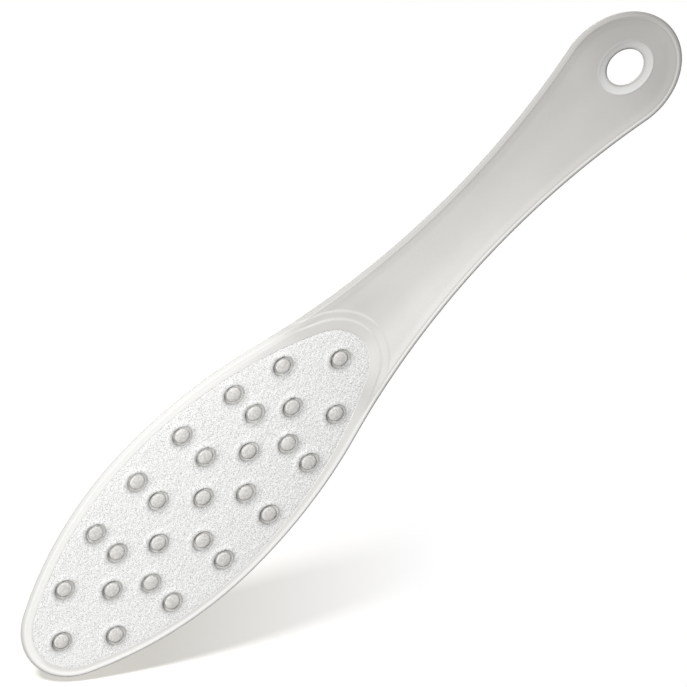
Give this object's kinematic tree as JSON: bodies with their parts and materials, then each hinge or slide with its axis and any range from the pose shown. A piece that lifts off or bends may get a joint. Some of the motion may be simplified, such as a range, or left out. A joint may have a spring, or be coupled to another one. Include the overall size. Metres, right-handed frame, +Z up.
{
  "type": "foot file",
  "caption": "Paddle-shaped foot file: a moulded plastic handle with a hanging hole and a leaf-shaped blade that carries a studded coarse abrasive sheet and a plain fine one.",
  "frame": {"origin": "under the middle of the file's length and width, on the surface that it lies on, which is the outer face of the fine sheet", "axes": "+X along the file from the tip to the handle end, +Y across it, +Z up out of the coarse, studded side"},
  "size_m": [0.226, 0.0566, 0.0019],
  "materials": {
    "paddle_plastic": "frosted translucent polypropylene, moulded",
    "coarse_grit": "white coarse grit, coated",
    "fine_grit": "white fine grit, coated",
    "adhesive": "clear pressure-sensitive film"
  },
  "bodies": {
    "root": {"paddle": "paddle_plastic", "front_abrasive_sheet": "coarse_grit", "front_adhesive_film": "adhesive", "back_abrasive_sheet": "fine_grit", "back_adhesive_film": "adhesive"}
  },
  "joints": []
}
